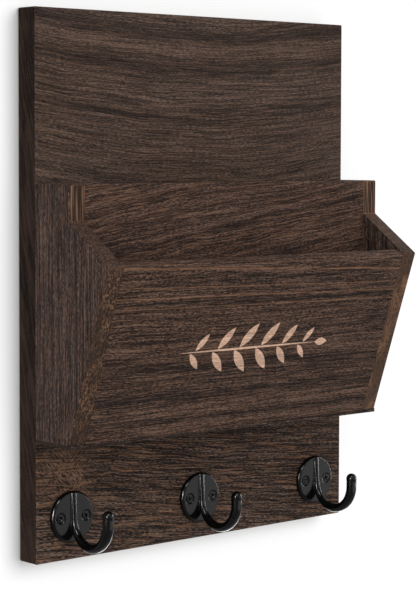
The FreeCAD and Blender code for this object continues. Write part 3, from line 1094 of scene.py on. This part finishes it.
def wall_material():
    """White wall that keeps the object's shadow and is seen from the front only."""
    material, tree, shader = new_material("white wall")
    tree.nodes.remove(shader)
    output = tree.nodes["Material Output"]
    paint = add(tree, "ShaderNodeBsdfDiffuse", {"Color": (0.70, 0.70, 0.70, 1.0)})
    glow = add(tree, "ShaderNodeEmission", {"Color": (1, 1, 1, 1), "Strength": 0.16})
    lit = add(tree, "ShaderNodeAddShader", {0: paint.outputs[0], 1: glow.outputs[0]})
    clear = tree.nodes.new("ShaderNodeBsdfTransparent")
    behind = add(tree, "ShaderNodeNewGeometry").outputs["Backfacing"]
    shaders = {0: behind, 1: lit.outputs[0], 2: clear.outputs[0]}
    either = add(tree, "ShaderNodeMixShader", shaders)
    tree.links.new(either.outputs[0], output.inputs[0])
    return material


def add_wall():
    start_clean()
    bpy.ops.mesh.primitive_plane_add(size=16, location=(0, WALL_GAP, 0), rotation=OUT_OF_WALL)
    wall = bpy.context.object
    wall.name = "wall"
    apply_place(wall)
    wall.data.materials.append(wall_material())
    wall.visible_diffuse = False
    wall.visible_glossy = False
    wall.visible_shadow = False
    return wall


def add_daylight(strength):
    """Even light from all round; camera, gloss and glass see plain white."""
    world = bpy.data.worlds.new("studio")
    bpy.context.scene.world = world
    world.use_nodes = True
    tree = world.node_tree
    background = tree.nodes["Background"]
    background.inputs["Color"].default_value = (1, 1, 1, 1)
    ray = add(tree, "ShaderNodeLightPath")
    seen = maths(tree, "MAXIMUM", ray.outputs["Is Camera Ray"], ray.outputs["Is Glossy Ray"])
    seen = maths(tree, "MAXIMUM", seen, ray.outputs["Is Transmission Ray"])
    tree.links.new(spread(tree, seen, 0.0, 1.0, strength, 1.0), background.inputs["Strength"])


def light_group(name, pieces, state):
    group = bpy.data.collections.new(name)
    for piece in pieces:
        group.objects.link(piece)
    for member in group.collection_objects:
        member.light_linking.link_state = state
    return group


def add_sun(name, energy, angle, toward, group):
    """A soft distant lamp that shines along toward, on the pieces of its group."""
    lamp = bpy.data.lights.new(name, "SUN")
    lamp.energy = energy
    lamp.angle = math.radians(angle)
    holder = bpy.data.objects.new(name, lamp)
    holder.rotation_mode = "QUATERNION"
    holder.rotation_quaternion = Vector(toward).to_track_quat("-Z", "Y")
    holder.light_linking.receiver_collection = group
    bpy.context.scene.collection.objects.link(holder)
    return holder


# Softboxes: name, place, size and radiance. The first kind lights all but the wall, and the second
# only shows as gloss on the black metal.

ROOM_BOXES = (
    ("left_strip", (-1.15, -0.50, 0.15), (0.05, 0.7), 25.0),
    ("front_strip", (-0.38, -1.15, 0.15), (0.05, 0.5), 18.0),
    ("top_box", (-0.3, -0.68, 1.05), (0.6, 0.25), 8.0),
)
GLOSS_BOXES = (
    ("gloss_left", (-1.25, -0.62, 0.05), (0.22, 0.8), 60.0),
    ("gloss_spot", (-1.2, -0.62, 0.10), (0.3, 0.3), 120.0),
    ("gloss_top", (-0.53, -0.77, 0.84), (0.5, 0.4), 44.0),
    ("gloss_right", (1.3, -0.30, 0.05), (0.15, 0.9), 45.0),
    ("gloss_face", (0.75, -1.0, -0.2), (0.9, 0.9), 3.2),
    ("gloss_rim", (0.98, 0.72, -0.75), (0.6, 0.6), 3.6),
)


def add_softbox(name, place, size, radiance, group, gloss_only=False):
    """A panel of light that looks at the pocket, on the pieces of its group."""
    lamp = bpy.data.lights.new(name, "AREA")
    lamp.shape = "RECTANGLE"
    lamp.size, lamp.size_y = size
    lamp.energy = radiance * math.pi * size[0] * size[1]
    holder = bpy.data.objects.new(name, lamp)
    holder.location = place
    holder.rotation_mode = "QUATERNION"
    target = Vector((0, -0.03, -0.05))
    holder.rotation_quaternion = (target - Vector(place)).to_track_quat("-Z", "Y")
    holder.light_linking.receiver_collection = group
    holder.visible_diffuse = not gloss_only
    bpy.context.scene.collection.objects.link(holder)


def add_camera(settings):
    yaw, pitch, roll = settings.yaw, settings.pitch, settings.roll
    ahead = Vector((math.sin(yaw) * math.cos(pitch), math.cos(yaw) * math.cos(pitch), math.sin(pitch)))
    right = Vector((math.cos(yaw), -math.sin(yaw), 0.0))
    up = right.cross(ahead)
    leaned_right = right * math.cos(roll) + up * math.sin(roll)
    leaned_up = up * math.cos(roll) - right * math.sin(roll)
    turn = Matrix((leaned_right, leaned_up, -ahead)).transposed()
    camera = bpy.data.cameras.new("camera")
    camera.sensor_width = 36.0
    camera.lens = settings.lens
    camera.shift_y = settings.lens_shift
    camera.clip_start = 0.05
    holder = bpy.data.objects.new("camera", camera)
    holder.matrix_world = Matrix.Translation(settings.camera_place) @ turn.to_4x4()
    bpy.context.scene.collection.objects.link(holder)
    bpy.context.scene.camera = holder


class ORGANIZER_OT_set_stage(bpy.types.Operator):
    """Put up the wall, the lamps and the camera"""

    bl_idname = "organizer.set_stage"
    bl_label = "Set Stage"

    def execute(self, context):
        settings = context.scene.organizer_stage
        wall = add_wall()
        add_daylight(settings.daylight)
        all_but_wall = light_group("all but the wall", [wall], "EXCLUDE")
        wall_alone = light_group("the wall", [wall], "INCLUDE")
        wall_sun = add_sun("wall_sun", 2.60, 50, (-0.30, 0.95, -0.28), wall_alone)
        flat = light_group("the flat board", [frame["nodes"]["backboard"]], "INCLUDE")
        wall_sun.light_linking.blocker_collection = flat
        add_sun("key", 0.7, 40, (-0.28, 0.90, -0.36), all_but_wall)
        add_sun("fill", 0.6, 60, (0.9, 0.6, -0.05), all_but_wall)
        for name, place, size, radiance in ROOM_BOXES:
            add_softbox(name, place, size, radiance, all_but_wall)
        black = [frame["nodes"][node] for node in HOOK_NODES + ("hook_screws",)]
        cast = ("cast_hook", "hook_screw_set")
        black += [piece for piece in bpy.data.objects if piece.name.startswith(cast)]
        black = light_group("black metal", black, "INCLUDE")
        for name, place, size, radiance in GLOSS_BOXES:
            add_softbox(name, place, size, radiance, black, gloss_only=True)
        add_camera(settings)
        context.scene.view_settings.view_transform = "Standard"
        return {"FINISHED"}


class ORGANIZER_PT_tools(bpy.types.Panel):
    """Lists the steps that dress the organizer"""

    bl_idname = "ORGANIZER_PT_tools"
    bl_label = "Wall Mail Organizer"
    bl_space_type = "VIEW_3D"
    bl_region_type = "UI"
    bl_category = "Organizer"

    def draw(self, context):
        for step in STEPS:
            self.layout.operator(step.bl_idname)
        for group in SETTINGS:
            settings = getattr(context.scene, group)
            box = self.layout.box()
            for name in settings.__annotations__:
                box.prop(settings, name)


SETTINGS = {
    "organizer_boards": BoardSettings,
    "organizer_hooks": HookSettings,
    "organizer_sprig": SprigSettings,
    "organizer_stage": StageSettings,
}
STEPS = (
    ORGANIZER_OT_stain_backboard,
    ORGANIZER_OT_stain_pocket,
    ORGANIZER_OT_finish_fixings,
    ORGANIZER_OT_cast_hooks,
    ORGANIZER_OT_make_hook_screws,
    ORGANIZER_OT_burn_sprig,
    ORGANIZER_OT_set_stage,
)


def register():
    for kind in (*SETTINGS.values(), *STEPS, ORGANIZER_PT_tools):
        bpy.utils.register_class(kind)
    for name, kind in SETTINGS.items():
        setattr(bpy.types.Scene, name, PointerProperty(type=kind))


def unregister():
    for name in SETTINGS:
        delattr(bpy.types.Scene, name)
    for kind in (ORGANIZER_PT_tools, *STEPS, *SETTINGS.values()):
        bpy.utils.unregister_class(kind)


def main():
    register()
    bpy.ops.organizer.stain_backboard()
    bpy.ops.organizer.stain_pocket()
    bpy.ops.organizer.finish_fixings()
    bpy.ops.organizer.cast_hooks()
    bpy.ops.organizer.make_hook_screws()
    bpy.ops.organizer.burn_sprig()
    bpy.ops.organizer.set_stage()
    start_clean()


if __name__ == "__main__":
    main()
